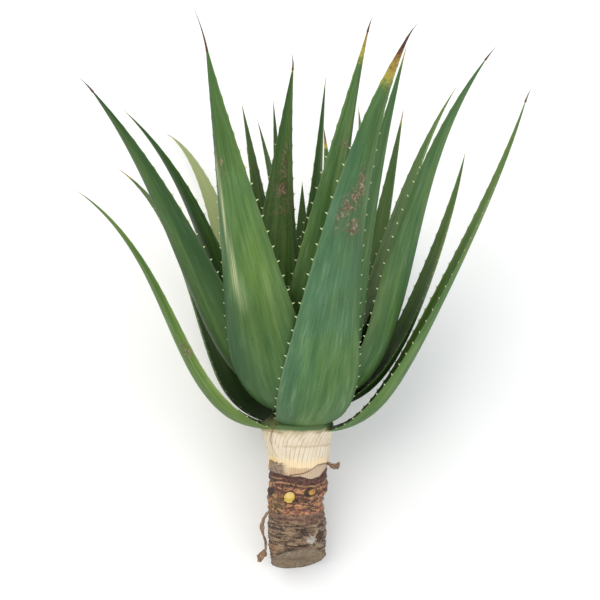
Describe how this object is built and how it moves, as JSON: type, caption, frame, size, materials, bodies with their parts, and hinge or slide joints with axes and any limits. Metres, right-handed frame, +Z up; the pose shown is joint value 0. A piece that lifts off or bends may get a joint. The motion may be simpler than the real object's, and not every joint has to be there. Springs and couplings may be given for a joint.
{
  "type": "tree aloe cutting",
  "caption": "Cut tree aloe lying on its side: a short bare trunk with a rosette of fleshy, toothed, tapering leaves.",
  "frame": {"origin": "bottom centre of the bounds of the plant as it lies; z = 0 is the surface it rests on", "axes": "+Y runs with the trunk axis from the cut end to the leaf tips, which rises 24 degrees; +Z up; +X to the right seen from the cut end"},
  "size_m": [0.5394, 0.6336, 0.507],
  "materials": {
    "leaf": "waxy satin, grey-green",
    "bark": "rough, dry",
    "dry_sheath": "papery, dry"
  },
  "bodies": {
    "root": {"leaf_01": "leaf", "leaf_02": "leaf", "leaf_03": "leaf", "leaf_04": "leaf", "leaf_05": "leaf", "leaf_06": "leaf", "leaf_07": "leaf", "leaf_08": "leaf", "leaf_09": "leaf", "leaf_10": "leaf", "leaf_11": "leaf", "leaf_12": "leaf", "leaf_13": "leaf", "leaf_14": "leaf", "leaf_15": "leaf", "leaf_16": "leaf", "leaf_17": "leaf", "leaf_18": "leaf", "leaf_19": "leaf", "leaf_20": "leaf", "leaf_21": "leaf", "leaf_22": "leaf", "leaf_23": "leaf", "leaf_24": "leaf", "trunk": "bark", "sheath_curl": "dry_sheath", "dry_strip": "dry_sheath"}
  },
  "joints": []
}
